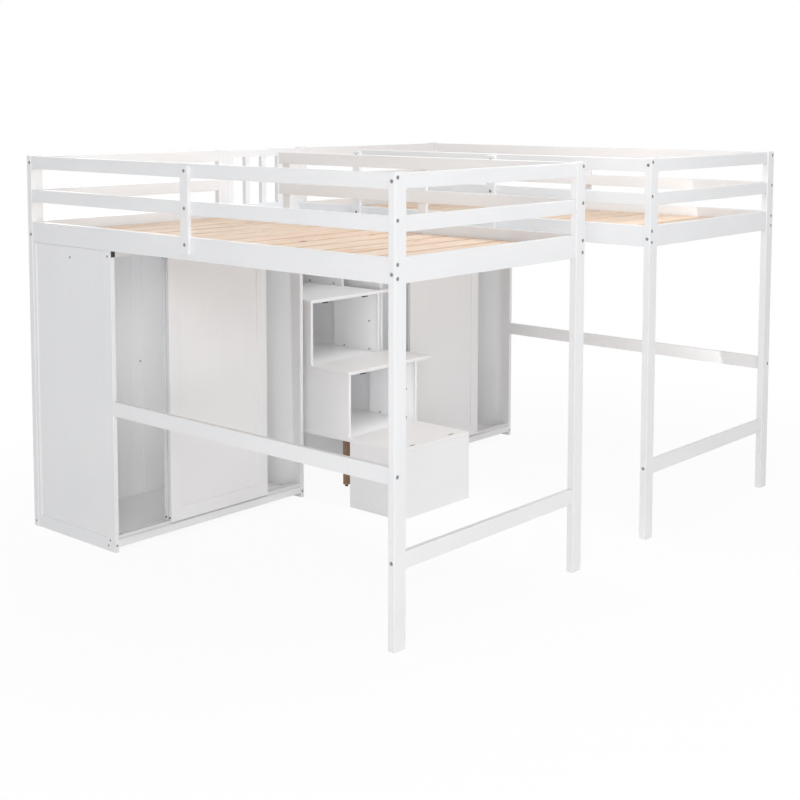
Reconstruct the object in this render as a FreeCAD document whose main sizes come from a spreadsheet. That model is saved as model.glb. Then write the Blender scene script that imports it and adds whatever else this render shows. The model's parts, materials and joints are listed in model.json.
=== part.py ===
import FreeCAD, Part
import os
import re

# Double loft bed. Two single beds on high posts stand side by side. A stair of stacked open
# boxes climbs between them to a landing at the head end, and a wardrobe with two sliding doors
# stands under the head end of each bed.
# The origin is on the floor in the middle of the whole. +X goes from the left bed to the right
# bed, +Y from the foot posts to the head posts, and +Z is up. Lengths are in millimetres.

SIZES = {
    # Frame: posts, and the two beds with the space between them
    "total_height": 1540,
    "bed_width": 1058,
    "bed_length": 2008,
    "stair_gap": 460,
    "post_width": 55,
    "post_thickness": 28,
    "edge_ease": 1.5,
    # Rails
    "rail_thickness": 20,
    "rail_setback": 4,
    "guard_rail_height": 51,
    "guard_top_drop": 3,
    "guard_rail_pitch": 135,
    "bed_rail_height": 84,
    "bed_rail_drop": 269,
    "stretcher_height": 57,
    "end_stretcher_top": 320,
    "side_stretcher_top": 601,
    # Guard posts: short boards that tie the guard rails to the bed rail
    "guard_post_width": 45,
    "guard_post_thickness": 15,
    "guard_post_foot": 23,
    "guard_post_drop": 10,
    "entry_gap": 367,
    "inner_guard_post_place": 790,
    "inner_guard_post_end_gap": 5,
    # Slats on their ledgers
    "slat_width": 115,
    "slat_thickness": 12,
    "slat_seat": 41,
    "slat_foot_gap": 63,
    "slat_head_gap": 12,
    "slat_side_gap": 2,
    "ledger_width": 20,
    "ledger_height": 26,
    # Wardrobes
    "wardrobe_depth": 546,
    "wardrobe_inset": 4,
    "board_thickness": 18,
    "side_frame_width": 58,
    "side_frame_rear": 16,
    "side_frame_bottom": 52,
    "panel_recess": 5,
    "plinth_bottom": 20,
    "plinth_top": 48,
    "floor_thickness": 12,
    "back_stile_width": 60,
    "back_stile_shift": 20,
    "back_panel_thickness": 6,
    "back_clearance": 7,
    # Sliding doors, their tracks and fittings
    "door_width": 532,
    "door_thickness": 18,
    "door_setback": 3,
    "door_spacing": 24,
    "door_rest_inset": 285,
    "door_frame_width": 55,
    "door_lift": 8,
    "door_top_gap": 7,
    "track_height": 24,
    "track_margin": 3,
    "track_groove_width": 9,
    "track_groove_depth": 18,
    "guide_plate_thickness": 3,
    "guide_rib_width": 2.5,
    "guide_rail_gap": 0.3,
    "guide_groove_width": 6,
    "guide_groove_depth": 8,
    "glide_length": 30,
    "glide_thickness": 6,
    "glide_height": 20,
    "glide_inset": 40,
    "bumper_radius": 4,
    "bumper_thickness": 2,
    "bumper_inset": 18,
    "end_cap_depth": 5,
    # Hanging rods
    "rod_radius": 12.5,
    "rod_wall": 1.5,
    "rod_drop": 44,
    "rod_fit": 0.3,
    "rod_end_gap": 2,
    "socket_radius": 25,
    "socket_thickness": 12,
    # Stair
    "step_board": 15,
    "stair_clearance": 6,
    "first_step_height": 302,
    "landing_drop": 12,
    "landing_depth": 311,
    "step_going": 231,
    "first_going": 306,
    "step_wall_depth": 285,
    "first_box_depth": 301,
    "tread_overhang": 97,
    "overhang_back_gap": 12,
    "beam_height": 70,
    "leg_width": 24,
    "leg_foot_radius": 7,
    "leg_foot_height": 8,
    "cap_length": 34,
    "cap_width": 7,
    "cap_thickness": 2,
    "cap_inset": 22,
    "cap_fit": 0.2,
    "hung_cap_drop": 6,
    "hung_cap_inset": 3,
    # Guard panel behind the landing
    "window_top_drop": 38,
    "window_height": 223,
    "window_width": 75,
    "window_slat": 29,
    "window_stile": 34,
    # Bolts, cross nuts and panel screws
    "bolt_head_radius": 6.5,
    "bolt_head_thickness": 3,
    "bolt_radius": 3,
    "bolt_fit": 0.5,
    "bolt_grip": 40,
    "bolt_socket_radius": 3,
    "bolt_socket_depth": 2,
    "bolt_row_shift": 12,
    "short_bolt_length": 30,
    "nut_radius": 5,
    "nut_length": 14,
    "nut_fit": 0.3,
    "nut_distance": 30,
    "screw_head_radius": 4.5,
    "screw_head_thickness": 2,
    "screw_radius": 2,
    "screw_length": 12,
    "screw_socket_radius": 1.5,
    "screw_socket_depth": 1.2,
    "screw_edge": 22,
    "step_screw_front": 55,
    "step_screw_rear": 217,
    "step_screw_rise": 10,
    "step_screw_top": 143,
    "back_screw_height": 625,
}
SLAT_COUNT = 14
SIDES = ("left", "right")
BED_BOLT_SHARES = (0.25, 0.78)
END_BOLT_SHARE = 0.38
CAP_SHARES = (0.176, 0.749)

doc = FreeCAD.newDocument("loft_bed")
sheet = doc.addObject("Spreadsheet::Sheet", "Sizes")
for row, (alias, number) in enumerate(SIZES.items(), start=1):
    sheet.set(f"A{row}", alias)
    sheet.set(f"B{row}", str(number))
    sheet.setAlias(f"B{row}", alias)
doc.recompute()

# Lengths that several pieces share, worked out from the sheet's sizes
FRONT_X = "(bed_width + stair_gap / 2)"
RAIL_INNER = "(rail_setback + rail_thickness)"
RAIL_LENGTH = "(bed_length - 2 * post_thickness)"
END_RAIL_LENGTH = "(bed_width - 2 * post_width)"
GUARD_BOTTOM = "(total_height - guard_top_drop - guard_rail_height)"
BED_RAIL_TOP = "(total_height - bed_rail_drop)"
BED_RAIL_BOTTOM = f"({BED_RAIL_TOP} - bed_rail_height)"
GUARD_POST_BOTTOM = f"({BED_RAIL_BOTTOM} + guard_post_foot)"
INNER_GUARD_LENGTH = f"({RAIL_LENGTH} - entry_gap)"
SLAT_BOTTOM = f"({BED_RAIL_BOTTOM} + slat_seat - slat_thickness)"
HEAD_FRONT = "(bed_length - post_thickness)"
WARDROBE_FRONT = "(bed_length - wardrobe_depth)"
WARDROBE_RIGHT = f"(bed_width - {RAIL_INNER})"
INNER_LEFT = "(wardrobe_inset + board_thickness)"
INNER_WIDTH = f"({WARDROBE_RIGHT} - board_thickness - {INNER_LEFT})"
BACK_FRONT = f"({HEAD_FRONT} - back_clearance - board_thickness)"
TRACK_BOTTOM = f"({BED_RAIL_BOTTOM} - track_height)"
DOOR_BOTTOM = "(plinth_top + door_lift)"
DOOR_HEIGHT = f"({TRACK_BOTTOM} - door_top_gap - {DOOR_BOTTOM})"
TRACK_DEPTH = "(door_setback + door_spacing + door_thickness + track_margin)"
STAIR_LEFT = "(-stair_gap / 2)"
STAIR_WIDTH = "(stair_gap - stair_clearance)"
STEP_RISE = f"(({BED_RAIL_BOTTOM} - landing_drop - first_step_height) / 3)"
LANDING_FRONT = f"({HEAD_FRONT} - landing_depth)"


def bind(text):
    """The text of an expression in which each named size is read from the sheet."""
    return re.sub(r"[a-z]\w*", lambda found: f"Sizes.{found.group()}", text)


def across(side, inset, width):
    """The low x of something on one bed, measured inward from the bed's outer face."""
    if side == "left":
        return f"{inset} - {FRONT_X}"
    return f"{FRONT_X} - ({inset}) - ({width})"


def along(place):
    """The y of a place measured from the foot posts' front faces."""
    return f"{place} - bed_length / 2"


solids = {}
cuts = {}


def place_at(part, corner):
    for axis, text in zip("xyz", corner):
        part.setExpression(f"Placement.Base.{axis}", bind(text))


def box(name, corner, size):
    """A plain box whose low corner and size are expressions."""
    part = doc.addObject("Part::Box", name)
    for side, text in zip(("Length", "Width", "Height"), size):
        part.setExpression(side, bind(text))
    place_at(part, corner)
    return part


def board(node, corner, size):
    """A board of a node, with its edges eased."""
    members = solids.setdefault(node, [])
    name = f"{node}_{len(members) + 1}"
    eased = doc.addObject("Part::Chamfer", f"{name}_eased")
    eased.Base = box(name, corner, size)
    ease = sheet.edge_ease
    eased.Edges = [(edge, ease, ease) for edge in range(1, 13)]
    members.append(eased)
    return eased


def plain(node, corner, size):
    """A square-edged member of a node."""
    members = solids.setdefault(node, [])
    members.append(box(f"{node}_{len(members) + 1}", corner, size))


def pocket(node, corner, size):
    """A box cut out of a node."""
    tools = cuts.setdefault((node, "pockets"), [])
    tools.append(box(f"{node}_pocket_{len(tools) + 1}", corner, size))


TURNS = {
    "x": FreeCAD.Rotation(FreeCAD.Vector(0, 1, 0), 90),
    "y": FreeCAD.Rotation(FreeCAD.Vector(1, 0, 0), -90),
    "z": FreeCAD.Rotation(),
}


def cylinder(name, axis, corner, radius, length):
    """A cylinder along an axis, from the low end of its centre line."""
    part = doc.addObject("Part::Cylinder", name)
    part.setExpression("Radius", bind(radius))
    part.setExpression("Height", bind(length))
    part.Placement = FreeCAD.Placement(FreeCAD.Vector(), TURNS[axis])
    place_at(part, corner)
    return part


def bore(nodes, layer, axis, corner, radius, length):
    """A round hole through one or more nodes. Holes of one layer never cross each other."""
    name = f"bore_{sum(len(tools) for tools in cuts.values()) + 1}"
    part = cylinder(name, axis, corner, radius, length)
    for node in nodes:
        cuts.setdefault((node, layer), []).append(part)
    return part


bolt_seats = []
nut_seats = []
screw_seats = []


def bolt(post, rail, axis, corner, far_end, shank, nut_corner=None, nut_axis=None):
    """One frame bolt: its hole through post and rail, its head's seat, and its cross nut.

    corner is the low end of the shank's line, and far_end tells that the head is at the high end.
    """
    hole = bore((post, rail), "shanks", axis, corner, "bolt_radius + bolt_fit", shank)
    bolt_seats.append((hole, far_end))
    head = list(corner)
    place = "xyz".index(axis)
    if far_end:
        head[place] = f"{corner[place]} + {shank} - bolt_head_thickness"
    bore((post,), "heads", axis, head, "bolt_head_radius + bolt_fit", "bolt_head_thickness")
    if nut_corner:
        nut_seats.append(bore((rail,), "nuts", nut_axis, nut_corner,
                              "nut_radius + nut_fit", "nut_length"))


# Posts, rails and guard posts of each bed
for side in SIDES:
    inner_post = "(bed_width - post_width)"
    for name, inset, start in (("foot_outer_post", "0", "0"),
                               ("foot_inner_post", inner_post, "0"),
                               ("head_outer_post", "0", HEAD_FRONT),
                               ("head_inner_post", inner_post, HEAD_FRONT)):
        board(f"{side}_{name}", (across(side, inset, "post_width"), along(start), "0"),
              ("post_width", "post_thickness", "total_height"))

    inner_rail = f"(bed_width - {RAIL_INNER})"
    outer_x = across(side, "rail_setback", "rail_thickness")
    inner_x = across(side, inner_rail, "rail_thickness")
    end_x = across(side, "post_width", END_RAIL_LENGTH)
    rail_y = along("post_thickness")
    foot_y = along("rail_setback")
    head_y = along(HEAD_FRONT)
    for x in (outer_x, inner_x):
        board(f"{side}_side_bed_rails", (x, rail_y, BED_RAIL_BOTTOM),
              ("rail_thickness", RAIL_LENGTH, "bed_rail_height"))
    for y in (foot_y, head_y):
        board(f"{side}_end_bed_rails", (end_x, y, BED_RAIL_BOTTOM),
              (END_RAIL_LENGTH, "rail_thickness", "bed_rail_height"))
    for drop in ("0", "guard_rail_pitch"):
        z = f"{GUARD_BOTTOM} - {drop}"
        board(f"{side}_outer_guard_rails", (outer_x, rail_y, z),
              ("rail_thickness", RAIL_LENGTH, "guard_rail_height"))
        board(f"{side}_inner_guard_rails", (inner_x, rail_y, z),
              ("rail_thickness", INNER_GUARD_LENGTH, "guard_rail_height"))
        for y in (foot_y, head_y):
            board(f"{side}_end_guard_rails", (end_x, y, z),
                  (END_RAIL_LENGTH, "rail_thickness", "guard_rail_height"))

    guard_height = f"total_height - guard_post_drop - {GUARD_POST_BOTTOM}"
    outer_inset = "(rail_setback - guard_post_thickness)"
    inner_inset = "(bed_width - rail_setback)"
    end_post = (f"(post_thickness + {INNER_GUARD_LENGTH} - inner_guard_post_end_gap"
                " - guard_post_width / 2)")
    guard_places = ((outer_inset, "(bed_length / 2)"),
                    (inner_inset, "inner_guard_post_place"),
                    (inner_inset, end_post))
    for inset, centre in guard_places:
        board(f"{side}_guard_posts",
              (across(side, inset, "guard_post_thickness"),
               along(f"{centre} - guard_post_width / 2"), GUARD_POST_BOTTOM),
              ("guard_post_thickness", "guard_post_width", guard_height))

    board(f"{side}_stretchers", (end_x, foot_y, "end_stretcher_top - stretcher_height"),
          (END_RAIL_LENGTH, "rail_thickness", "stretcher_height"))
    board(f"{side}_stretchers", (outer_x, rail_y, "side_stretcher_top - stretcher_height"),
          ("rail_thickness", f"{WARDROBE_FRONT} - post_thickness", "stretcher_height"))

# Slats across each bed, lying on a ledger along each side rail
slat_span = f"(bed_width - 2 * {RAIL_INNER})"
slat_run = f"({RAIL_LENGTH} - slat_foot_gap - slat_head_gap - slat_width)"
slat_step = f"({slat_run} / {SLAT_COUNT - 1})"
for side in SIDES:
    for inset in (RAIL_INNER, f"(bed_width - {RAIL_INNER} - ledger_width)"):
        board(f"{side}_slat_ledgers",
              (across(side, inset, "ledger_width"), along("post_thickness"),
               f"{SLAT_BOTTOM} - ledger_height"),
              ("ledger_width", RAIL_LENGTH, "ledger_height"))
    for number in range(SLAT_COUNT):
        start = f"post_thickness + slat_foot_gap + {number} * {slat_step}"
        board(f"{side}_slats",
              (across(side, f"({RAIL_INNER} + slat_side_gap)", f"({slat_span} - 2 * slat_side_gap)"),
               along(start), SLAT_BOTTOM),
              (f"{slat_span} - 2 * slat_side_gap", "slat_width", "slat_thickness"))

# Wardrobe cases
for side in SIDES:
    side_depth = f"({HEAD_FRONT} - {WARDROBE_FRONT})"
    outer = f"{side}_wardrobe_outer_side"
    board(outer, (across(side, "wardrobe_inset", "board_thickness"), along(WARDROBE_FRONT), "0"),
          ("board_thickness", side_depth, BED_RAIL_BOTTOM))
    pocket(outer,
           (across(side, "wardrobe_inset", "panel_recess"),
            along(f"{WARDROBE_FRONT} + side_frame_width"), "side_frame_bottom"),
           ("panel_recess", f"{side_depth} - side_frame_width - side_frame_rear",
            f"{BED_RAIL_BOTTOM} - side_frame_bottom"))
    inner_side = f"({WARDROBE_RIGHT} - board_thickness)"
    board(f"{side}_wardrobe_inner_side",
          (across(side, inner_side, "board_thickness"), along(WARDROBE_FRONT), "0"),
          ("board_thickness", side_depth, BED_RAIL_BOTTOM))

    inner_x = across(side, INNER_LEFT, INNER_WIDTH)
    board(f"{side}_wardrobe_decks", (inner_x, along(WARDROBE_FRONT), "plinth_bottom"),
          (INNER_WIDTH, TRACK_DEPTH, "plinth_top - plinth_bottom"))
    deck_depth = f"({BACK_FRONT} - {WARDROBE_FRONT} - {TRACK_DEPTH})"
    for z, thickness in (("plinth_bottom", "floor_thickness"),
                         (f"{BED_RAIL_BOTTOM} - board_thickness", "board_thickness")):
        board(f"{side}_wardrobe_decks",
              (inner_x, along(f"{WARDROBE_FRONT} + {TRACK_DEPTH}"), z),
              (INNER_WIDTH, deck_depth, thickness))

    outer_back = f"(({INNER_WIDTH} - back_stile_width) / 2 - back_stile_shift)"
    inner_back = f"(({INNER_WIDTH} - back_stile_width) / 2 + back_stile_shift)"
    for inset, width, thickness in ((INNER_LEFT, outer_back, "back_panel_thickness"),
                                    (f"({INNER_LEFT} + {outer_back})", "back_stile_width",
                                     "board_thickness"),
                                    (f"({INNER_LEFT} + {outer_back} + back_stile_width)",
                                     inner_back, "back_panel_thickness")):
        board(f"{side}_wardrobe_back",
              (across(side, inset, width), along(BACK_FRONT), "plinth_bottom"),
              (width, thickness, f"{BED_RAIL_BOTTOM} - plinth_bottom"))

# Door tracks: a grooved track above the doors and a ribbed guide plate below them
for side in SIDES:
    inner_x = across(side, INNER_LEFT, INNER_WIDTH)
    tracks = f"{side}_door_tracks"
    plain(tracks, (inner_x, along(WARDROBE_FRONT), TRACK_BOTTOM),
          (INNER_WIDTH, TRACK_DEPTH, "track_height"))
    guide = [box(f"{side}_guide_plate", (inner_x, along(WARDROBE_FRONT), "plinth_top"),
                 (INNER_WIDTH, TRACK_DEPTH, "guide_plate_thickness"))]
    for row in range(2):
        centre = f"{WARDROBE_FRONT} + door_setback + {row} * door_spacing + door_thickness / 2"
        pocket(tracks, (inner_x, along(f"{centre} - track_groove_width / 2"), TRACK_BOTTOM),
               (INNER_WIDTH, "track_groove_width", "track_groove_depth"))
        guide.append(box(f"{side}_guide_rib_{row + 1}",
                         (inner_x, along(f"{centre} - guide_rib_width / 2"), "plinth_top"),
                         (INNER_WIDTH, "guide_rib_width",
                          "door_lift + guide_groove_depth - guide_rail_gap")))
    guide_plate = doc.addObject("Part::MultiFuse", f"{side}_guide")
    guide_plate.Shapes = guide
    solids[tracks].append(guide_plate)
    for inset in ("wardrobe_inset", f"({WARDROBE_RIGHT} - board_thickness)"):
        board("track_end_caps",
              (across(side, inset, "board_thickness"), along(f"{WARDROBE_FRONT} - end_cap_depth"),
               TRACK_BOTTOM),
              ("board_thickness", "end_cap_depth", "track_height"))

# Sliding doors: framed panels on two glides each, with bumpers on their side edges
for side in SIDES:
    for row, name in enumerate(("front_door", "rear_door")):
        node = f"{side}_{name}"
        front = f"{WARDROBE_FRONT} + door_setback + {row} * door_spacing"
        centre_y = along(f"{front} + door_thickness / 2")
        board(node, (across(side, "door_rest_inset", "door_width"), along(front), DOOR_BOTTOM),
              ("door_width", "door_thickness", DOOR_HEIGHT))
        panel_width = "(door_width - 2 * door_frame_width)"
        pocket(node,
               (across(side, "(door_rest_inset + door_frame_width)", panel_width),
                along(front), f"{DOOR_BOTTOM} + door_frame_width"),
               (panel_width, "panel_recess", f"{DOOR_HEIGHT} - 2 * door_frame_width"))
        pocket(node,
               (across(side, "door_rest_inset", "door_width"),
                f"{centre_y} - guide_groove_width / 2", DOOR_BOTTOM),
               ("door_width", "guide_groove_width", "guide_groove_depth"))
        door_top = f"{DOOR_BOTTOM} + {DOOR_HEIGHT}"
        far_glide = "(door_rest_inset + door_width - glide_inset - glide_length)"
        for inset in ("(door_rest_inset + glide_inset)", far_glide):
            board(f"{node}_fittings",
                  (across(side, inset, "glide_length"), f"{centre_y} - glide_thickness / 2",
                   door_top),
                  ("glide_length", "glide_thickness", "glide_height"))
        for inset in ("(door_rest_inset - bumper_thickness)", "(door_rest_inset + door_width)"):
            for z in (f"{DOOR_BOTTOM} + bumper_inset", f"{door_top} - bumper_inset"):
                members = solids[f"{node}_fittings"]
                members.append(cylinder(f"{node}_bumper_{len(members) + 1}", "x",
                                        (across(side, inset, "bumper_thickness"), centre_y, z),
                                        "bumper_radius", "bumper_thickness"))

# Hanging rods in their end sockets
for side in SIDES:
    rod_y = along(f"{WARDROBE_FRONT} + wardrobe_depth / 2")
    rod_z = f"{BED_RAIL_BOTTOM} - rod_drop"
    rod_inset = f"({INNER_LEFT} + rod_end_gap)"
    rod_length = f"({INNER_WIDTH} - 2 * rod_end_gap)"
    rod = doc.addObject("Part::Cut", f"{side}_rod_tube")
    rod_corner = (across(side, rod_inset, rod_length), rod_y, rod_z)
    rod.Base = cylinder(f"{side}_rod_outside", "x", rod_corner, "rod_radius", rod_length)
    rod.Tool = cylinder(f"{side}_rod_bore", "x", rod_corner, "rod_radius - rod_wall", rod_length)
    solids[f"{side}_hanging_rod"] = [rod]
    for inset in (INNER_LEFT, f"({INNER_LEFT} + {INNER_WIDTH} - socket_thickness)"):
        corner = (across(side, inset, "socket_thickness"), rod_y, rod_z)
        members = solids.setdefault("rod_sockets", [])
        members.append(cylinder(f"rod_socket_{len(members) + 1}", "x", corner,
                                "socket_radius", "socket_thickness"))
        bore(("rod_sockets",), "rods", "x", corner, "rod_radius + rod_fit", "socket_thickness")

# Stair: open boxes whose tops and bottoms are the treads
inner_width = f"({STAIR_WIDTH} - 2 * step_board)"
left_x = STAIR_LEFT
right_x = f"({STAIR_LEFT} + {STAIR_WIDTH} - step_board)"
inside_x = f"({STAIR_LEFT} + step_board)"
third_front = f"({LANDING_FRONT} - step_going)"
second_front = f"({LANDING_FRONT} - 2 * step_going)"
first_front = f"({second_front} - first_going)"
fronts = (first_front, second_front, third_front, LANDING_FRONT)
tops = [f"(first_step_height + {number} * {STEP_RISE})" for number in range(4)]
box_ends = (f"({first_front} + first_box_depth)", f"({third_front} + step_wall_depth)",
            HEAD_FRONT, HEAD_FRONT)

for number, (front, top, box_end) in enumerate(zip(fronts, tops, box_ends)):
    floor = tops[number - 1] if number else "0"
    wall_front = front if number else f"({front} + step_board)"
    wall_depth = "step_wall_depth" if number else "first_box_depth - step_board"
    wall_height = f"{top} - step_board - {floor}"
    for x in (left_x, right_x):
        board("step_sides", (x, along(wall_front), floor), ("step_board", wall_depth, wall_height))
    board("step_backs", (inside_x, along(f"{box_end} - step_board"), floor),
          (inner_width, "step_board", wall_height))
    tread_end = box_ends[number + 1] if number < 3 else HEAD_FRONT
    tread_z = f"{top} - step_board"
    if number in (1, 2):
        tread_width = f"({STAIR_WIDTH} + tread_overhang)"
        notch_front = f"({WARDROBE_FRONT} - overhang_back_gap)"
        pocket("step_treads",
               (f"{STAIR_LEFT} + {STAIR_WIDTH}", along(notch_front), tread_z),
               ("tread_overhang", f"{tread_end} - {notch_front}", "step_board"))
    else:
        tread_width = STAIR_WIDTH
    board("step_treads", (STAIR_LEFT, along(front), tread_z),
          (tread_width, f"{tread_end} - {front}", "step_board"))
    for share in CAP_SHARES if number < 3 else ():
        x = f"{STAIR_LEFT} + {share} * {STAIR_WIDTH}"
        inset, z, seat = "cap_inset", f"{top} - cap_thickness", f"{top} - cap_thickness"
        height = "cap_thickness"
        if number:
            inset, z, seat = "hung_cap_inset", f"{tread_z} - hung_cap_drop", tread_z
            height = "hung_cap_drop + cap_thickness"
        y = along(f"{front} + {inset}")
        pocket("step_treads", (x, y, seat), ("cap_length", "cap_width", "cap_thickness"))
        plain("tread_caps", (f"{x} + cap_fit", f"{y} + cap_fit", z),
              ("cap_length - 2 * cap_fit", "cap_width - 2 * cap_fit", height))

board("step_riser", (STAIR_LEFT, along(first_front), "0"),
      (STAIR_WIDTH, "step_board", "first_step_height - step_board"))
leg_x = f"({STAIR_LEFT} + {STAIR_WIDTH} / 2)"
leg_y = along(third_front)
board("step_leg", (f"{leg_x} - leg_width / 2", f"{leg_y} - leg_width / 2", "leg_foot_height"),
      ("leg_width", "leg_width", "first_step_height - step_board - leg_foot_height"))
solids["step_leg_foot"] = [cylinder("leg_foot", "z", (leg_x, leg_y, "0"), "leg_foot_radius",
                                    "leg_foot_height")]

# Beam under the landing's rear edge, and the windowed guard panel that stands on it
landing_bottom = f"({tops[3]} - step_board)"
board("landing_beam", (STAIR_LEFT, along(HEAD_FRONT), f"{landing_bottom} - beam_height"),
      ("stair_gap", "rail_thickness", "beam_height"))
board("landing_guard_panel", (STAIR_LEFT, along(HEAD_FRONT), landing_bottom),
      ("stair_gap", "rail_thickness", f"total_height - guard_top_drop - {landing_bottom}"))
for number in range(3):
    pocket("landing_guard_panel",
           (f"{STAIR_LEFT} + window_stile + {number} * (window_width + window_slat)",
            along(HEAD_FRONT), "total_height - window_top_drop - window_height"),
           ("window_width", "rail_thickness", "window_height"))

# Bolts along y, through the foot and head posts into the ends of the long rails
guard_bolts = [f"{GUARD_BOTTOM} + guard_rail_height / 2 + bolt_row_shift - {drop} * guard_rail_pitch"
               for drop in range(2)]
bed_bolts = [f"{BED_RAIL_TOP} - {share} * bed_rail_height" for share in BED_BOLT_SHARES]
stretcher_bolt = "side_stretcher_top - stretcher_height / 2"
long_shank = "(post_thickness + bolt_grip)"
for side in SIDES:
    rail_centre = "(rail_setback + rail_thickness / 2)"
    rows = []
    for z in guard_bolts:
        rows.append(("outer", "foot", "outer_guard_rails", z))
        rows.append(("outer", "head", "outer_guard_rails", z))
        rows.append(("inner", "foot", "inner_guard_rails", z))
    for z in bed_bolts:
        for edge in ("outer", "inner"):
            for end in ("foot", "head"):
                rows.append((edge, end, "side_bed_rails", z))
    rows.append(("outer", "foot", "stretchers", stretcher_bolt))
    for edge, end, rail, z in rows:
        inset = rail_centre if edge == "outer" else f"(bed_width - {rail_centre})"
        at_head = end == "head"
        start = f"(bed_length - {long_shank})" if at_head else "0"
        nut = "(bed_length - post_thickness - nut_distance)" if at_head \
            else "(post_thickness + nut_distance)"
        nut_inset = f"({inset} - nut_length / 2)"
        bolt(f"{side}_{end}_{edge}_post", f"{side}_{rail}", "y",
             (across(side, inset, "0"), along(start), z), at_head, long_shank,
             (across(side, nut_inset, "nut_length"), along(nut), z), "x")

# Bolts along x, through the posts into the ends of the end rails
cross_shank = "(post_width + bolt_grip)"
for side in SIDES:
    rows = []
    for end in ("foot", "head"):
        rows.append((end, "end_guard_rails", f"{GUARD_BOTTOM} + guard_rail_height / 2"))
        rows.append((end, "end_bed_rails", f"{BED_RAIL_BOTTOM} + {END_BOLT_SHARE} * bed_rail_height"))
    rows.append(("foot", "stretchers", "end_stretcher_top - stretcher_height / 2"))
    for end, rail, z in rows:
        if end == "foot":
            centre = "rail_setback + rail_thickness / 2"
        else:
            centre = f"{HEAD_FRONT} + rail_thickness / 2"
        for edge in ("outer", "inner"):
            inset = "0" if edge == "outer" else f"(bed_width - {cross_shank})"
            nut = "(post_width + nut_distance)" if edge == "outer" \
                else "(bed_width - post_width - nut_distance)"
            far_end = (edge == "inner") == (side == "left")
            bolt(f"{side}_{end}_{edge}_post", f"{side}_{rail}", "x",
                 (across(side, inset, cross_shank), along(centre), z), far_end, cross_shank,
                 (across(side, nut, "0"), along(f"{centre} - nut_length / 2"), z), "y")

# Short bolts through each guard post into the guard rails and the bed rail
for side in SIDES:
    short_rows = [f"{GUARD_BOTTOM} + guard_rail_height / 2 - {drop} * guard_rail_pitch"
                  for drop in range(2)]
    short_rows.append(f"{GUARD_POST_BOTTOM} + guard_post_width / 2 + bolt_row_shift")
    for number, (inset, centre) in enumerate(guard_places):
        rails = "outer_guard_rails" if number == 0 else "inner_guard_rails"
        if number == 0:
            bolt_inset = inset
        else:
            bolt_inset = f"({inset} + guard_post_thickness - short_bolt_length)"
        far_end = (number > 0) == (side == "left")
        for row, z in enumerate(short_rows):
            rail = rails if row < 2 else "side_bed_rails"
            bolt(f"{side}_guard_posts", f"{side}_{rail}", "x",
                 (across(side, bolt_inset, "short_bolt_length"), along(centre), z), far_end,
                 "short_bolt_length")


def screw(node, axis, corner, far_end):
    """One panel screw: its hole and its head's seat."""
    hole = bore((node,), "screw shanks", axis, corner, "screw_radius + bolt_fit", "screw_length")
    screw_seats.append((hole, far_end))
    head = list(corner)
    place = "xyz".index(axis)
    if far_end:
        head[place] = f"{corner[place]} + screw_length - screw_head_thickness"
    bore((node,), "screw heads", axis, head, "screw_head_radius + bolt_fit",
         "screw_head_thickness")


# Panel screws in each wardrobe's sides and back stile and at the foot of the post behind it
for side in SIDES:
    screw_places = ((f"{WARDROBE_FRONT} + screw_edge", f"{BED_RAIL_BOTTOM} - screw_edge", "0"),
                    (f"{WARDROBE_FRONT} + 2 * screw_edge", "screw_edge", "0"),
                    (f"{WARDROBE_FRONT} + 1.5 * screw_edge", "2 * screw_edge", "0"),
                    (f"{WARDROBE_FRONT} + wardrobe_depth / 2", f"{BED_RAIL_BOTTOM} - 2 * screw_edge",
                     "panel_recess"))
    for place, z, depth in screw_places:
        x = across(side, f"(wardrobe_inset + {depth})", "screw_length")
        screw(f"{side}_wardrobe_outer_side", "x", (x, along(place), z), side == "right")
    screw(f"{side}_head_outer_post", "x",
          (across(side, "0", "screw_length"), along(f"{HEAD_FRONT} + post_thickness / 2"),
           "screw_edge"), side == "right")
    for node, inset in (("outer_side", "wardrobe_inset"),
                        ("inner_side", f"({WARDROBE_RIGHT} - board_thickness)")):
        edge_x = across(side, f"({inset} + board_thickness / 2)", "0")
        screw(f"{side}_wardrobe_{node}", "y",
              (edge_x, along(WARDROBE_FRONT), "1.25 * screw_edge"), False)
    stile_place = f"({INNER_LEFT} + {outer_back} + back_stile_width - screw_edge / 2)"
    screw(f"{side}_wardrobe_back", "y",
          (across(side, stile_place, "0"), along(BACK_FRONT), "back_screw_height"), False)

# Panel screws in the inner faces of the stair's walls
for front, floor in zip(fronts[1:], tops):
    for place, rise in (("step_screw_front", "step_screw_rise"),
                        ("step_screw_rear", "step_screw_rise"),
                        ("step_screw_front", "step_screw_top")):
        y = along(f"{front} + {place}")
        z = f"{floor} + {rise}"
        screw("step_sides", "x", (f"{inside_x} - screw_length", y, z), True)
        screw("step_sides", "x", (right_x, y, z), False)


def join(name, parts):
    """Several objects as one, still separate solids."""
    if len(parts) == 1:
        return parts[0]
    group = doc.addObject("Part::Compound", name)
    group.Links = parts
    return group


# Each node: its members, less its pockets and holes
nodes = {}
for node, members in solids.items():
    shape = join(f"{node}_members", members)
    for (owner, layer), tools in cuts.items():
        if owner != node:
            continue
        word = layer.replace(" ", "_")
        cut = doc.addObject("Part::Cut", f"{node}_less_{word}")
        cut.Base = shape
        cut.Tool = join(f"{node}_{word}", tools)
        shape = cut
    nodes[node] = shape
doc.recompute()


def size_of(kind, word):
    """One size of a kind of fastener, read from the sheet."""
    return getattr(sheet, f"{kind}_{word}")


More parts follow.
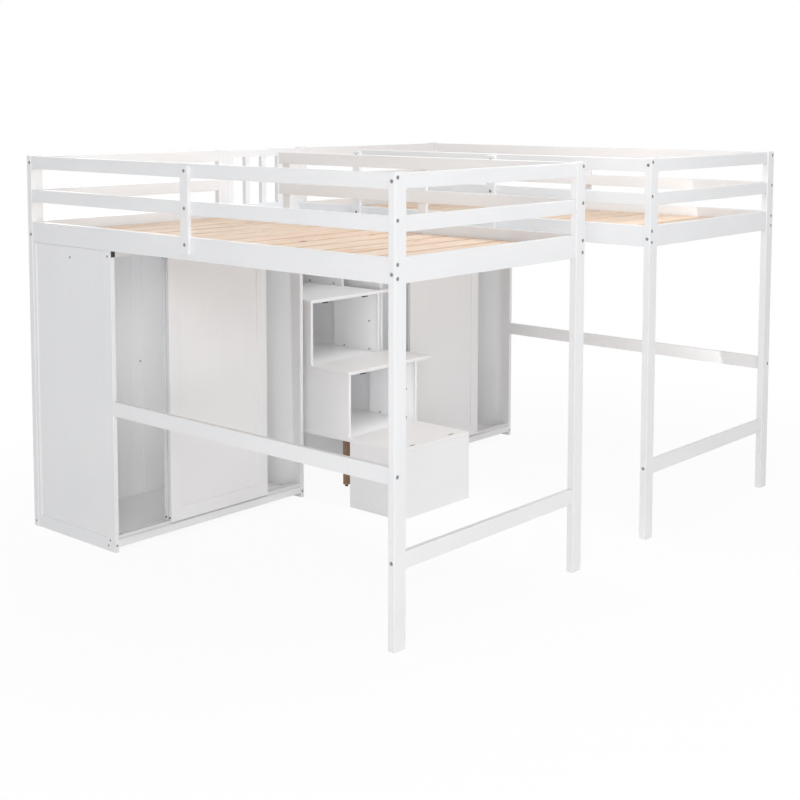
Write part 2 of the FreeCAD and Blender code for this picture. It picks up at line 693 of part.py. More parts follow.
def turned_part(kind, length):
    """A headed fastener along z, its head's face at the origin, with a six-sided socket."""
    head = Part.makeCylinder(size_of(kind, "head_radius"), size_of(kind, "head_thickness"))
    shank = Part.makeCylinder(size_of(kind, "radius"), length)
    corners = [FreeCAD.Vector(size_of(kind, "socket_radius"), 0, 0)]
    turn = FreeCAD.Rotation(FreeCAD.Vector(0, 0, 1), 60)
    for _ in range(6):
        corners.append(turn.multVec(corners[-1]))
    socket = Part.Face(Part.makePolygon(corners)).extrude(
        FreeCAD.Vector(0, 0, size_of(kind, "socket_depth")))
    return head.fuse(shank).removeSplitter().cut(socket)


def laid_along(shape, hole, far_end):
    """A copy of a fitting laid in its hole, from the hole's far end when asked."""
    place = hole.Placement
    if far_end:
        flip = FreeCAD.Rotation(FreeCAD.Vector(1, 0, 0), 180)
        end = FreeCAD.Vector(0, 0, hole.Height.Value)
        place = place.multiply(FreeCAD.Placement(end, flip))
    fitting = shape.copy()
    fitting.Placement = place.multiply(fitting.Placement)
    return fitting


def group_of(node, shapes):
    """A node made of many copies of one fitting."""
    group = doc.addObject("Part::Feature", node)
    group.Shape = Part.makeCompound(shapes)
    group.Placement = FreeCAD.Placement()
    nodes[node] = group


bolts = []
for hole, far_end in bolt_seats:
    shape = turned_part("bolt", hole.Height.Value - sheet.bolt_fit)
    bolts.append(laid_along(shape, hole, far_end))
group_of("frame_bolts", bolts)

nut = Part.makeCylinder(sheet.nut_radius, sheet.nut_length)
cross = Part.makeCylinder(sheet.bolt_radius + sheet.bolt_fit, 2 * sheet.nut_radius,
                          FreeCAD.Vector(-sheet.nut_radius, 0, sheet.nut_length / 2),
                          FreeCAD.Vector(1, 0, 0))
nuts = []
for hole in nut_seats:
    along_x = hole.Placement.Rotation.multVec(FreeCAD.Vector(0, 0, 1)).x > 0.5
    quarter = FreeCAD.Rotation(FreeCAD.Vector(0, 0, 1), 90 if along_x else 0)
    shape = nut.cut(cross)
    shape.Placement = FreeCAD.Placement(FreeCAD.Vector(), quarter)
    nuts.append(laid_along(shape, hole, False))
group_of("barrel_nuts", nuts)

screws = []
for hole, far_end in screw_seats:
    shape = turned_part("screw", hole.Height.Value - sheet.bolt_fit)
    screws.append(laid_along(shape, hole, far_end))
group_of("panel_screws", screws)

for node, part in nodes.items():
    part.Label = node
doc.recompute()

for part in doc.Objects:
    state = set(part.State) & {"Invalid", "Error"}
    if state:
        raise RuntimeError(f"{part.Name} is {state}")
for node, part in nodes.items():
    if part.Shape.isNull() or not part.Shape.isValid():
        raise RuntimeError(f"{node} has no valid shape")

os.makedirs("parts", exist_ok=True)
for node, part in nodes.items():
    part.Shape.exportStep(os.path.join("parts", f"{node}.step"))
total = sum(len(part.Shape.Solids) for part in nodes.values())
print(f"{len(nodes)} nodes, {total} solids")
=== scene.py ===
# %% [markdown]
# # Dressing a double loft bed
# The object is a pair of children's loft beds with a stair of open boxes between them and a
# wardrobe with two sliding doors under each deck. The construction is already solved and comes in
# as a fixed frame of named parts. What is left is how it looks: satin white paint over board and
# pine, bare pine slats, small dull fasteners, and soft studio light.
#
# Lengths are in metres. X runs across the beds, Y along them from the foot end to the head end, and
# Z up.

# %% Load the frame
import json
import math

import bmesh
import bpy
from mathutils import Matrix, Vector

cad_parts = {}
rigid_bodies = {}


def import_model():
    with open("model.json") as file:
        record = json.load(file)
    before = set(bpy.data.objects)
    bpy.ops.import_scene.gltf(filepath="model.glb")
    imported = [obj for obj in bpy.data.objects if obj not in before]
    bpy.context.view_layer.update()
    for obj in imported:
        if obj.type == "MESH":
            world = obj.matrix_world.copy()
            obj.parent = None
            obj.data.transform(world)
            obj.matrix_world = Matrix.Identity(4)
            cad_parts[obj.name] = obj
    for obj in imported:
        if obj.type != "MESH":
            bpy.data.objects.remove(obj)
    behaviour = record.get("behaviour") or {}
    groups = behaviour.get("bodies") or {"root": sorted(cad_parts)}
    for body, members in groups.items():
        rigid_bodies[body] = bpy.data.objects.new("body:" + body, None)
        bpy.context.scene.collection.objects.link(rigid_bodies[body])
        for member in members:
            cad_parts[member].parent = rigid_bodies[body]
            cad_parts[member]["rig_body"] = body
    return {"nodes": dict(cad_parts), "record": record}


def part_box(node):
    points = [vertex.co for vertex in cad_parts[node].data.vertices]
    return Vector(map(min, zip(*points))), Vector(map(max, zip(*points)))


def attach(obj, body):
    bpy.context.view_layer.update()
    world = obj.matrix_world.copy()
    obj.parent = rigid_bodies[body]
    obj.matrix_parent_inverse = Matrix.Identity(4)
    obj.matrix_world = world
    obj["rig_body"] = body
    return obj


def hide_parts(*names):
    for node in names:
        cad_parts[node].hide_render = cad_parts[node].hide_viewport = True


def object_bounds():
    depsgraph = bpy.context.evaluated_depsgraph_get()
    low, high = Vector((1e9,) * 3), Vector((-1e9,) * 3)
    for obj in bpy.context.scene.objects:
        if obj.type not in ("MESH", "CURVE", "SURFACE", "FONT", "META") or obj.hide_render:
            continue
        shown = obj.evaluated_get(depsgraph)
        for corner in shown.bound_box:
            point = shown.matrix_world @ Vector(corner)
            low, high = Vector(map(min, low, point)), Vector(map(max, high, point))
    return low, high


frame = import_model()
CAD_BOUNDS = [list(corner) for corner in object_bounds()]
NODES = frame["nodes"]


# %% [markdown]
# Everything that was loaded arrives selected, and an operator acts on all that is selected. So the
# first habit is to let go of everything.

# %% Deselect all
def deselect():
    """Leaves nothing selected and nothing active."""
    for thing in bpy.context.selected_objects:
        thing.select_set(False)
    bpy.context.view_layer.objects.active = None


deselect()
LOW, HIGH = (Vector(corner) for corner in CAD_BOUNDS)
print("size in metres:", [round(side, 3) for side in HIGH - LOW])

# %% [markdown]
# ## The camera
# The picture to match looks at the foot end from the left, from a little above the guard rails. Its
# upright posts stay parallel, as with a camera held almost level whose lens is shifted down. The
# camera could be placed by eye, but here its place and turn were worked out from the corners that
# the picture shows. A level camera with a large shift would match to the pixel. Tilting it down by
# five degrees needs less shift, which other views keep, and moves no corner by more than five
# pixels.

# %% Camera
LENS_PIXELS = 1358.3  # the focal length in pixels of the picture
PICTURE_PIXELS = 800
SENSOR_MM = 36
YAW, PITCH, ROLL = 0.8476, math.radians(-5), 0.0014  # the yaw turns from Y towards X
CAMERA_PLACE = Vector((-4.430, -3.799, 1.751))
CENTRE_ROW = 222.8  # the row of the picture that the lens looks straight at

forward = Vector((math.sin(YAW) * math.cos(PITCH), math.cos(YAW) * math.cos(PITCH),
                  math.sin(PITCH)))
level_right = Vector((math.cos(YAW), -math.sin(YAW), 0))
level_up = level_right.cross(forward)
right = math.cos(ROLL) * level_right + math.sin(ROLL) * level_up
up = right.cross(forward)

camera_data = bpy.data.cameras.new("photo_camera")
camera = bpy.data.objects.new("photo_camera", camera_data)
bpy.context.scene.collection.objects.link(camera)
camera_data.sensor_width = SENSOR_MM
camera_data.lens = LENS_PIXELS * SENSOR_MM / PICTURE_PIXELS
camera_data.shift_y = (CENTRE_ROW - PICTURE_PIXELS / 2) / PICTURE_PIXELS
camera.rotation_euler = Matrix((right, up, -forward)).transposed().to_euler()
camera.location = CAMERA_PLACE
bpy.context.scene.camera = camera
print(f"lens {camera_data.lens:.1f} mm, shift {camera_data.shift_y:.3f}")


# %% [markdown]
# ## A short way to write materials
# A material is a graph of nodes. Written node by node it is long, so one small class wraps a socket
# and gives it the usual signs: `a * b + c` adds the Math nodes. Colours and vectors never go
# through Math nodes, which would turn them grey. They have Mix and Vector Math calls of their own.
# The same graph serves the world round the object.

# %% The socket class
class Wire:
    """A socket of a shader graph, with arithmetic on values."""

    def __init__(self, graph, socket):
        self.graph = graph
        self.socket = socket

    def __add__(self, other):
        return self.graph.maths("ADD", self, other)

    __radd__ = __add__

    def __mul__(self, other):
        return self.graph.maths("MULTIPLY", self, other)

    __rmul__ = __mul__

    def __sub__(self, other):
        return self.graph.maths("SUBTRACT", self, other)

    def __rsub__(self, other):
        return self.graph.maths("SUBTRACT", other, self)

    def __truediv__(self, other):
        return self.graph.maths("DIVIDE", self, other)

    def __rtruediv__(self, other):
        return self.graph.maths("DIVIDE", other, self)


print("sockets can be added, subtracted, multiplied and divided")

# %% The graph class and its node method
NODE_SPACING = 180
RISING, FALLING = (0.0, 1.0), (1.0, 0.0)


class Graph:
    """The shader nodes of one material or world."""

    def __init__(self, owner):
        self.owner = owner
        owner.use_nodes = True
        self.tree = owner.node_tree
        self.tree.nodes.clear()

    def node(self, kind, settings=None, *values, output=0, **named):
        """Adds a node: its settings first, then values or links in the order of its sockets."""
        made = self.tree.nodes.new(f"ShaderNode{kind}")
        made.location.x = NODE_SPACING * len(self.tree.nodes)
        for word, value in (settings or {}).items():
            setattr(made, word, value)
        for place, value in enumerate(values):
            self.feed(made.inputs[place], value)
        for word, value in named.items():
            self.feed(self.input_named(made, word), value)
        return None if output is None else Wire(self, self.output_of(made, output))

    @staticmethod
    def input_named(made, word):
        """The input in use whose name is the word, with spaces for its underscores."""
        wanted = word.replace("_", " ").lower()
        for socket in made.inputs:
            if socket.name.lower() == wanted and socket.enabled:
                return socket
        raise KeyError(f"{made.bl_idname} has no input {word}")

    @staticmethod
    def output_of(made, which):
        """The output in use that has this name or number."""
        enabled = [socket for socket in made.outputs if socket.enabled]
        if isinstance(which, int):
            return enabled[which]
        return next(socket for socket in enabled if socket.name == which)

    def feed(self, socket, value):
        """Links a socket, or sets its value. A colour may leave out its alpha."""
        if isinstance(value, Wire):
            self.tree.links.new(value.socket, socket)
            return
        if socket.type == "RGBA" and len(value) == 3:
            value = (*value, 1)
        socket.default_value = value

    def maths(self, operation, *values):
        """A Math node on one or two values."""
        return self.node("Math", {"operation": operation}, *values)

    def mix(self, share, first, second):
        """Two colours mixed by a share."""
        return self.node("Mix", {"data_type": "RGBA"}, Factor=share, A=first, B=second)

    def place(self):
        """Where a point is on the object, in metres."""
        return self.node("TexCoord", output="Object")

    def stretched(self, place, factors):
        """A place multiplied along each axis. A small factor makes a pattern long that way."""
        return self.node("VectorMath", {"operation": "MULTIPLY"}, place, factors)

    def between(self, value, span, to=RISING):
        """A value moved from its span to another range, and kept within that."""
        return self.node("MapRange", {"clamp": True}, value, *span, *to)

    def show(self, shader, kind="OutputMaterial"):
        """Sends a shader to the surface of the material or world, and returns its owner."""
        self.node(kind, output=None, Surface=shader)
        return self.owner

    def finish(self, **sockets):
        """The usual surface shader with these values or links. Returns the material."""
        return self.show(self.node("BsdfPrincipled", output="BSDF", **sockets))


print("shader graph ready")

# %% [markdown]
# ## White paint
# The boards carry a factory coat of satin white paint. Sprayed paint isn't perfectly even: it has a
# fine orange peel a millimetre or two across and very faint clouds of thicker and thinner coat, and
# a trace of the wood's grain shows through. A picture of paint could be laid over the boards, but
# three noises have no seams and keep their size on every board. A little of each is enough, because
# more would read as dirt. The line of light along an eased edge isn't painted: it comes from the
# rounded shape, further down.
#
# A noise hardly ever comes near 0 or 1. So each gets a span, the part of its values that counts,
# which is then moved to the whole range from 0 to 1.

# %% White paint
PAINT_WHITE = (0.85, 0.852, 0.858)
PAINT_SHADE = (0.81, 0.813, 0.822)
CLOUD_SPAN, CLOUD_TONE = (0.35, 0.68), 0.55
STREAK_SPAN, STREAK_TONE = (0.4, 0.7), 0.25
STREAK_SHEEN, SHEEN_SPAN, PAINT_ROUGHNESS = 0.5, (0.55, 1.0), (0.31, 0.43)
PEEL_HEIGHT, STREAK_HEIGHT = 0.35, 0.65


def white_paint(name, grain):
    """Satin paint on a board whose grain is stretched by the three factors."""
    g = Graph(bpy.data.materials.new(name))
    place = g.place()
    along = g.stretched(place, grain)
    clouds = g.node("TexNoise", None, place, Scale=3.0, Detail=3.0)
    streaks = g.node("TexNoise", None, along, Scale=60.0, Detail=4.0, Roughness=0.6)
    peel = g.node("TexNoise", None, place, Scale=520.0, Detail=2.0)
    cloudy, streaky = g.between(clouds, CLOUD_SPAN), g.between(streaks, STREAK_SPAN)
    base = g.mix(cloudy * CLOUD_TONE + streaky * STREAK_TONE, PAINT_WHITE, PAINT_SHADE)
    rough = g.between(clouds + streaks * STREAK_SHEEN, SHEEN_SPAN, PAINT_ROUGHNESS)
    height = peel * PEEL_HEIGHT + streaks * STREAK_HEIGHT
    bump = g.node("Bump", None, Strength=0.12, Distance=0.0006, Height=height)
    return g.finish(Base_Color=base, Roughness=rough, Normal=bump, Coat_Weight=0.12,
                    Coat_Roughness=0.25)


paint_upright = white_paint("satin_white_paint", grain=(1.0, 1.0, 0.06))
paint_along = white_paint("satin_white_paint_along", grain=(1.0, 0.05, 1.0))
paint_across = white_paint("satin_white_paint_across", grain=(0.05, 1.0, 1.0))
print("white paint in three grain directions")

# %% [markdown]
# ## Bare pine
# The slats are planed pine with no finish: pale and warm, with growth rings cut at a low angle into
# long flames, darker late wood, and small knots. Each slat is sawn from its own board, so no two
# carry on the same pattern. They could have a material each, but the slat's number can be worked
# out from its place along the bed. A number drawn from it moves the pattern, so one material serves
# all the slats.

# %% A number for each slat
SLAT_COUNT = 14
SLAT_WIDTH = 0.115
SLAT_LEAD = 0.018  # a slat's number starts this far before its edge, in the gap
BED_STEP = 40.0  # keeps the numbers of the two beds apart
slat_low, slat_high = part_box("left_slats")
SLAT_PITCH = (slat_high.y - slat_low.y - SLAT_WIDTH) / (SLAT_COUNT - 1)


def slat_chance(g, place):
    """A value from 0 to 1 that is the same all over a slat and differs from slat to slat."""
    along = g.node("SeparateXYZ", None, place, output="Y")
    number = g.maths("FLOOR", (along - (slat_low.y - SLAT_LEAD)) / SLAT_PITCH)
    bed = g.maths("SIGN", g.node("SeparateXYZ", None, place, output="X"))
    return g.node("TexWhiteNoise", {"noise_dimensions": "1D"}, W=number + bed * BED_STEP,
                  output="Value")


print(f"slats every {SLAT_PITCH * 1000:.1f} mm from y {slat_low.y:.3f}")

# %% [markdown]
# The rings are a wave texture in rings round an axis that runs along the slat, pulled out of true
# by a noise, as a trunk is. The rest are noises stretched along the slat, from long flames down to
# fibres. The knots are the middles of large cells.

# %% The pine's growth rings
BEND_STRETCH = (1.3, 5.0, 5.0)
BEND_REACH = (0.0, 0.085, 0.085)
RING_STRETCH = (0.07, 1.0, 1.0)
LATE_SPAN = (0.45, 0.98)


def late_wood(g, own):
    """From 0 in the pale early wood of a growth ring to 1 in its dark late wood."""
    bent = g.node("TexNoise", None, g.stretched(own, BEND_STRETCH), Scale=1.6, Detail=2.0,
                  output="Color")
    pulled = g.node("VectorMath", {"operation": "MULTIPLY_ADD"}, bent, BEND_REACH, own)
    waves = {"wave_type": "RINGS", "rings_direction": "X", "wave_profile": "SAW"}
    rings = g.node("TexWave", waves, g.stretched(pulled, RING_STRETCH), Scale=22.0, Distortion=1.1,
                   Detail=2.0, Detail_Scale=1.5, output="Fac")
    return g.between(rings, LATE_SPAN)


print(f"rings bent by up to {max(BEND_REACH) * 1000:.0f} mm")

# %% Bare pine
PINE_EARLY = (0.75, 0.585, 0.46)
PINE_LATE = (0.62, 0.42, 0.295)
PINE_KNOT = (0.30, 0.17, 0.10)
PINE_PALE = (0.79, 0.665, 0.555)
PINE_DRAB = (0.65, 0.535, 0.415)
OWN_SHIFT = (7.0, 3.1, 11.0)  # how far the pattern of one slat may lie from the next one's
LATE_COVER, PALE_COVER = 0.6, 0.4
PATCH_STRETCH, PATCH_SPAN, PATCH_COVER = (1.6, 14.0, 14.0), (0.5, 0.66), 0.5
FLAME_STRETCH, FLAME_SPAN, FLAME_COVER = (2.2, 24.0, 24.0), (0.54, 0.68), 0.7
FIBRE_STRETCH, FIBRE_SPAN, FIBRE_COVER = (6.0, 240.0, 240.0), (0.42, 0.75), 0.3
KNOT_STRETCH, KNOT_SPAN, KNOT_COVER = (3.2, 7.5, 7.5), (0.045, 0.10), 0.85
HALO_SPAN, HALO_COVER = (0.06, 0.26), 0.4  # the darker wood round a knot
PINE_SHEEN_SPAN, PINE_ROUGHNESS = (0.3, 0.7), (0.5, 0.66)
FIBRE_HEIGHT, RING_HEIGHT = 0.6, 0.4


def bare_pine(name):
    """Planed pine whose boards lie along X, each with a pattern of its own."""
    g = Graph(bpy.data.materials.new(name))
    place = g.place()
    chance = slat_chance(g, place)
    shift = g.node("CombineXYZ", None, *(chance * reach for reach in OWN_SHIFT))
    own = g.node("VectorMath", {"operation": "ADD"}, place, shift)
    late = late_wood(g, own)
    flames = g.node("TexNoise", None, g.stretched(own, FLAME_STRETCH), Scale=1.0, Detail=3.0)
    fibres = g.node("TexNoise", None, g.stretched(own, FIBRE_STRETCH), Scale=1.0, Detail=3.0)
    patches = g.node("TexNoise", None, g.stretched(own, PATCH_STRETCH), Scale=1.0, Detail=2.0)
    knots = g.node("TexVoronoi", {"feature": "F1"}, g.stretched(own, KNOT_STRETCH), Scale=1.0,
                   Randomness=1.0, output="Distance")
    # how much of each colour lies over the ones before it
    layers = (
        (late * LATE_COVER, PINE_LATE),
        (chance * PALE_COVER, PINE_PALE),
        (g.between(patches, PATCH_SPAN) * PATCH_COVER, PINE_DRAB),
        (g.between(flames, FLAME_SPAN) * FLAME_COVER, PINE_LATE),
        (g.between(fibres, FIBRE_SPAN) * FIBRE_COVER, PINE_LATE),
        (g.between(knots, HALO_SPAN, FALLING) * HALO_COVER, PINE_LATE),
        (g.between(knots, KNOT_SPAN, FALLING) * KNOT_COVER, PINE_KNOT),
    )
    base = PINE_EARLY
    for share, colour in layers:
        base = g.mix(share, base, colour)
    rough = g.between(fibres, PINE_SHEEN_SPAN, PINE_ROUGHNESS)
    height = fibres * FIBRE_HEIGHT + late * RING_HEIGHT
    bump = g.node("Bump", None, Strength=0.25, Distance=0.0005, Height=height)
    return g.finish(Base_Color=base, Roughness=rough, Normal=bump, Specular_IOR_Level=0.3)


pine = bare_pine("bare_pine")
print("pine with", SLAT_COUNT * 2, "different slats")

# %% [markdown]
# ## Metal, plastic, rubber and brown wood
# The bolts and screws are dull grey steel, the hidden cross nuts zinc plated, and the hanging rods
# bright plated tube. The tracks are extruded white plastic, whose die leaves long faint lines. The
# doors' glides are dark plastic, and the tracks' end caps black. The pads at the treads and under
# the leg are black rubber, and the leg itself is plain brown wood. Each could have a graph of its
# own, but all of them are small in the picture, so one recipe serves: a fine and a broad
# unevenness, with the colours, sheen and grain of each.

# %% Small finishes
LINES_ALONG_X = (0.02, 1, 1)
GRAIN_UPRIGHT = (1, 1, 0.04)
FINE_SHARE, BROAD_SHARE, TONE_SPAN = 0.6, 0.4, (0.38, 0.66)
BROAD_SPAN, ROUGH_LESS, ROUGH_MORE = (0.35, 0.65), 0.06, 0.08
FINE_BUMP = 0.0004


def fine_finish(name, colour, second, roughness, scale, metallic=0.0, stretch=(1, 1, 1),
                bump_strength=0.15):
    """A metal, plastic, rubber or wood with a fine uneven surface in two colours."""
    g = Graph(bpy.data.materials.new(name))
    place = g.place()
    fine = g.node("TexNoise", None, g.stretched(place, stretch), Scale=scale, Detail=4.0)
    broad = g.node("TexNoise", None, place, Scale=14.0, Detail=2.0)
    tone = g.between(fine * FINE_SHARE + broad * BROAD_SHARE, TONE_SPAN)
    rough = g.between(broad, BROAD_SPAN, (roughness - ROUGH_LESS, roughness + ROUGH_MORE))
    bump = g.node("Bump", None, Strength=bump_strength, Distance=FINE_BUMP, Height=fine)
    return g.finish(Base_Color=g.mix(tone, colour, second), Roughness=rough, Metallic=metallic,
                    Normal=bump)


SMALL_FINISHES = {
    "track_plastic": dict(colour=(0.80, 0.80, 0.81), second=(0.74, 0.74, 0.75), roughness=0.42,
                          scale=120, stretch=LINES_ALONG_X),
    "glide_plastic": dict(colour=(0.10, 0.10, 0.11), second=(0.07, 0.07, 0.075), roughness=0.45,
                          scale=260),
    "black_plastic": dict(colour=(0.030, 0.030, 0.034), second=(0.020, 0.020, 0.022),
                          roughness=0.4, scale=300),
    "grey_steel": dict(colour=(0.36, 0.36, 0.37), second=(0.27, 0.27, 0.28), roughness=0.42,
                       scale=420, metallic=0.6),
    "zinc_steel": dict(colour=(0.62, 0.63, 0.65), second=(0.52, 0.53, 0.56), roughness=0.34,
                       scale=300, metallic=1.0),
    "rod_metal": dict(colour=(0.75, 0.76, 0.78), second=(0.66, 0.67, 0.70), roughness=0.18,
                      scale=160, metallic=1.0, stretch=LINES_ALONG_X, bump_strength=0.05),
    "black_rubber": dict(colour=(0.032, 0.032, 0.032), second=(0.022, 0.022, 0.022),
                         roughness=0.72, scale=500, bump_strength=0.3),
    "brown_wood": dict(colour=(0.45, 0.27, 0.165), second=(0.31, 0.175, 0.10), roughness=0.5,
                       scale=220, stretch=GRAIN_UPRIGHT, bump_strength=0.3),
}
FINISHES = {"bare_pine": pine}
for name, look in SMALL_FINISHES.items():
    FINISHES[name] = fine_finish(name, **look)
print("finishes:", ", ".join(sorted(FINISHES)))

# %% [markdown]
# ## Giving the loaded parts their finishes
# The record names the finish of each loaded part, so the script looks it up instead of listing the
# parts again. The white parts get the paint whose grain runs along their own length. Only the parts
# that don't stand upright need naming for that.

# %% Assign the finishes
PARTS_ALONG = ("side_bed_rails", "outer_guard_rails", "inner_guard_rails", "slat_ledgers",
               "step_sides", "step_treads")
PARTS_ACROSS = ("end_bed_rails", "end_guard_rails", "wardrobe_decks", "landing_beam",
                "step_backs", "step_riser")


def paint_for(node):
    """The white paint whose grain runs along this part."""
    if node.endswith(PARTS_ALONG):
        return paint_along
    if node.endswith(PARTS_ACROSS):
        return paint_across
    return paint_upright


slot_of = {part["node"]: part["material_slot"] for part in frame["record"]["subparts"]}
for node, thing in NODES.items():
    thing.data.materials.clear()
    thing.data.materials.append(FINISHES.get(slot_of[node]) or paint_for(node))
print(f"{len(slot_of)} parts have a finish")

# %% [markdown]
# ## Eased edges
# Nobody leaves a knife edge on a child's bed: every post, rail and slat has its edges rounded over
# by a cutter, about two millimetres. The loaded solids have only a narrow chamfer. A Bevel modifier
# on them would catch on their loose triangles, so those boards are modelled again over them, at the
# same size and place. One loaded part may hold many boards, as the slats do, so the first step is
# to find its separate solids and the box of each.

# %% Find the separate boards of a part
MERGE_DISTANCE = 0.00001
PLACE_DIGITS = 4  # the solids are sorted by places rounded to this many digits


def corners(places):
    """Lowest and highest corner of some places."""
    low = Vector([min(place[axis] for place in places) for axis in range(3)])
    high = Vector([max(place[axis] for place in places) for axis in range(3)])
    return low, high


def islands(node):
    """The vertex places of each separate solid in a loaded part, in a fixed order."""
    mesh = bmesh.new()
    mesh.from_mesh(NODES[node].data)
    bmesh.ops.remove_doubles(mesh, verts=mesh.verts, dist=MERGE_DISTANCE)
    found, waiting = [], set(mesh.verts)
    while waiting:
        queue = [waiting.pop()]
        group = list(queue)
        while queue:
            for edge in queue.pop().link_edges:
                for vertex in edge.verts:
                    if vertex in waiting:
                        waiting.discard(vertex)
                        group.append(vertex)
                        queue.append(vertex)
        found.append([vertex.co.copy() for vertex in group])
    mesh.free()
    return sorted(found, key=lambda places: [round(side, PLACE_DIGITS)
                                             for side in corners(places)[0]])


print("slats in the left deck:", len(islands("left_slats")))

# %% [markdown]
# A board starts as a cube of the board's size, and in edit mode a bevel rounds all its edges.
# Boards of the same size are modelled once and copied, and the boards of a part are joined into one
# piece. Its object stays at the origin, with its place in its mesh.

# %% Model a board once for each size
EASE = 0.002
EASE_SEGMENTS = 3
ROUND = 0.5  # the profile of a bevel that is a quarter of a circle
SIZE_DIGITS = 5
BOARDS = {}


def board_mesh(size):
    """A board of that size round the origin, with eased edges."""
    key = tuple(round(side, SIZE_DIGITS) for side in size)
    if key not in BOARDS:
        deselect()
        bpy.ops.mesh.primitive_cube_add(size=1, location=(0, 0, 0), scale=size)
        bpy.ops.object.transform_apply(location=True, rotation=True, scale=True)
        bpy.ops.object.mode_set(mode="EDIT")
        bpy.ops.mesh.select_all(action="SELECT")
        bpy.ops.mesh.bevel(offset=EASE, segments=EASE_SEGMENTS, affect="EDGES", profile=ROUND)
        bpy.ops.object.mode_set(mode="OBJECT")
        made = bpy.context.object
        BOARDS[key] = made.data
        bpy.data.objects.remove(made)
    return BOARDS[key].copy()


print(f"boards have edges eased by {EASE * 1000:.0f} mm")


# %% Place and join the boards
def placed(mesh, name, middle):
    """An object at the origin whose mesh is moved to its place."""
    mesh.transform(Matrix.Translation(middle))
    thing = bpy.data.objects.new(name, mesh)
    bpy.context.scene.collection.objects.link(thing)
    return thing


def joined(things, name):
    """Several objects as one."""
    deselect()
    for thing in things:
        thing.select_set(True)
    bpy.context.view_layer.objects.active = things[0]
    if len(things) > 1:
        bpy.ops.object.join()
    things[0].name = name
    deselect()
    return things[0]


print("boards can be placed and joined")

# %% [markdown]
# ## The seats of the bolts and screws
# Every bolt and panel screw lies in a shallow round seat that a drill leaves, a little wider than
# its head. The heads could just stand in the plain boards, but the fine ring of shadow round each
# is what shows that they are separate. The places of the heads come from the loaded fasteners: a
# head is where the fastener is widest. A Boolean modifier then takes a short cylinder out of the
# board, as the drill would.

# %% Find the heads
SEAT_CLEARANCE = 0.0005
BOLT_SEAT_DEPTH, SCREW_SEAT_DEPTH = 0.003, 0.002
RIM_SHARE = 0.9  # places this far out, as a share of the widest radius, are the head's


def seats(node, depth):
    """For each head of a fastener: the middle of its face, its axis, and its seat's size."""
    found = []
    for places in islands(node):
        low, high = corners(places)
        size, middle = high - low, (low + high) / 2
        axis = max(range(3), key=lambda side: size[side])
        across = [side for side in range(3) if side != axis]
        radius = max(size[side] for side in across) / 2
        rim = [place[axis] for place in places
               if math.hypot(*(place[side] - middle[side] for side in across))
               > RIM_SHARE * radius]
        at_low = sum(rim) / len(rim) < middle[axis]
        face = middle.copy()
        face[axis] = low[axis] if at_low else high[axis]
        found.append((face, axis, radius + SEAT_CLEARANCE, depth))
    return found


SEATS = seats("frame_bolts", BOLT_SEAT_DEPTH) + seats("panel_screws", SCREW_SEAT_DEPTH)
print(len(SEATS), "heads need a seat")

# %% Cut the seats
SEAT_SIDES = 32
REACH = 0.004  # how far a head's face may lie outside the box of the piece that it sits in
QUARTER_TURN = math.pi / 2
LAID_ALONG = ((0, QUARTER_TURN, 0), (QUARTER_TURN, 0, 0), (0, 0, 0))  # a cylinder along X, Y, Z


def cut_with(thing, cutter):
    """Takes the cutter out of the thing."""
    deselect()
    bpy.context.view_layer.objects.active = thing
    thing.select_set(True)
    cut = thing.modifiers.new("cut", "BOOLEAN")
    cut.operation, cut.solver, cut.object = "DIFFERENCE", "EXACT", cutter
    bpy.ops.object.modifier_apply(modifier=cut.name)
    bpy.data.objects.remove(cutter)
    deselect()


def cut_seats(thing):
    """Drills the seat of every head that lies on this piece, and returns their number."""
    low, high = corners([vertex.co for vertex in thing.data.vertices])
    drills = []
    for face, axis, radius, depth in SEATS:
        if all(low[side] - REACH < face[side] < high[side] + REACH for side in range(3)):
            bpy.ops.mesh.primitive_cylinder_add(vertices=SEAT_SIDES, radius=radius,
                                                depth=2 * depth, location=face,
                                                rotation=LAID_ALONG[axis])
            drills.append(bpy.context.object)
    if drills:
        cut_with(thing, joined(drills, "drill"))
    return len(drills)


print(f"seats are {BOLT_SEAT_DEPTH * 1000:.0f} and {SCREW_SEAT_DEPTH * 1000:.0f} mm deep")

# %% [markdown]
# ## Posts, rails and slats
# These are the boards whose edges can be seen. Each loaded part gives one new piece, which is
# drilled, rides on the same body as the part, and stands for it. The part itself stays for
# collision, out of sight.

# %% The posts, rails and slats
EASED = ("foot_outer_post", "foot_inner_post", "head_outer_post", "head_inner_post",
         "side_bed_rails", "end_bed_rails", "outer_guard_rails", "inner_guard_rails",
         "end_guard_rails", "guard_posts", "stretchers", "slats")


def finish_piece(thing, node, material):
    """Gives a new piece its material and body, and hides the loaded part that it stands for."""
    thing.data.materials.clear()
    thing.data.materials.append(material)
    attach(thing, NODES[node]["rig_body"])
    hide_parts(node)


for side in ("left", "right"):
    for word in EASED:
        node = f"{side}_{word}"
        boards = []
        for places in islands(node):
            low, high = corners(places)
            boards.append(placed(board_mesh(high - low), f"{node}_board", (low + high) / 2))
        piece = joined(boards, f"{node}_eased")
        drilled = cut_seats(piece)
        finish_piece(piece, node, NODES[node].data.materials[0])
        faces = len(piece.data.polygons)
        print(f"{piece.name}: {len(boards)} boards, {drilled} seats, {faces} faces")

# %% [markdown]
# ## Framed boards
# A framed panel is a flat board whose middle lies a few millimetres back. On the real door, strips
# are glued round a thin sheet, and paint softens the inner corners. Five boards could be put
# together in the same way, but their joints would need hiding. Here one board is inset by the
# frame's width, the middle is pushed in by an extrude, and a small bevel softens every edge.

# %% Select a face and fit the recess
FACING_SHARE = 0.9  # at 1 a face's normal would have to point exactly in the direction


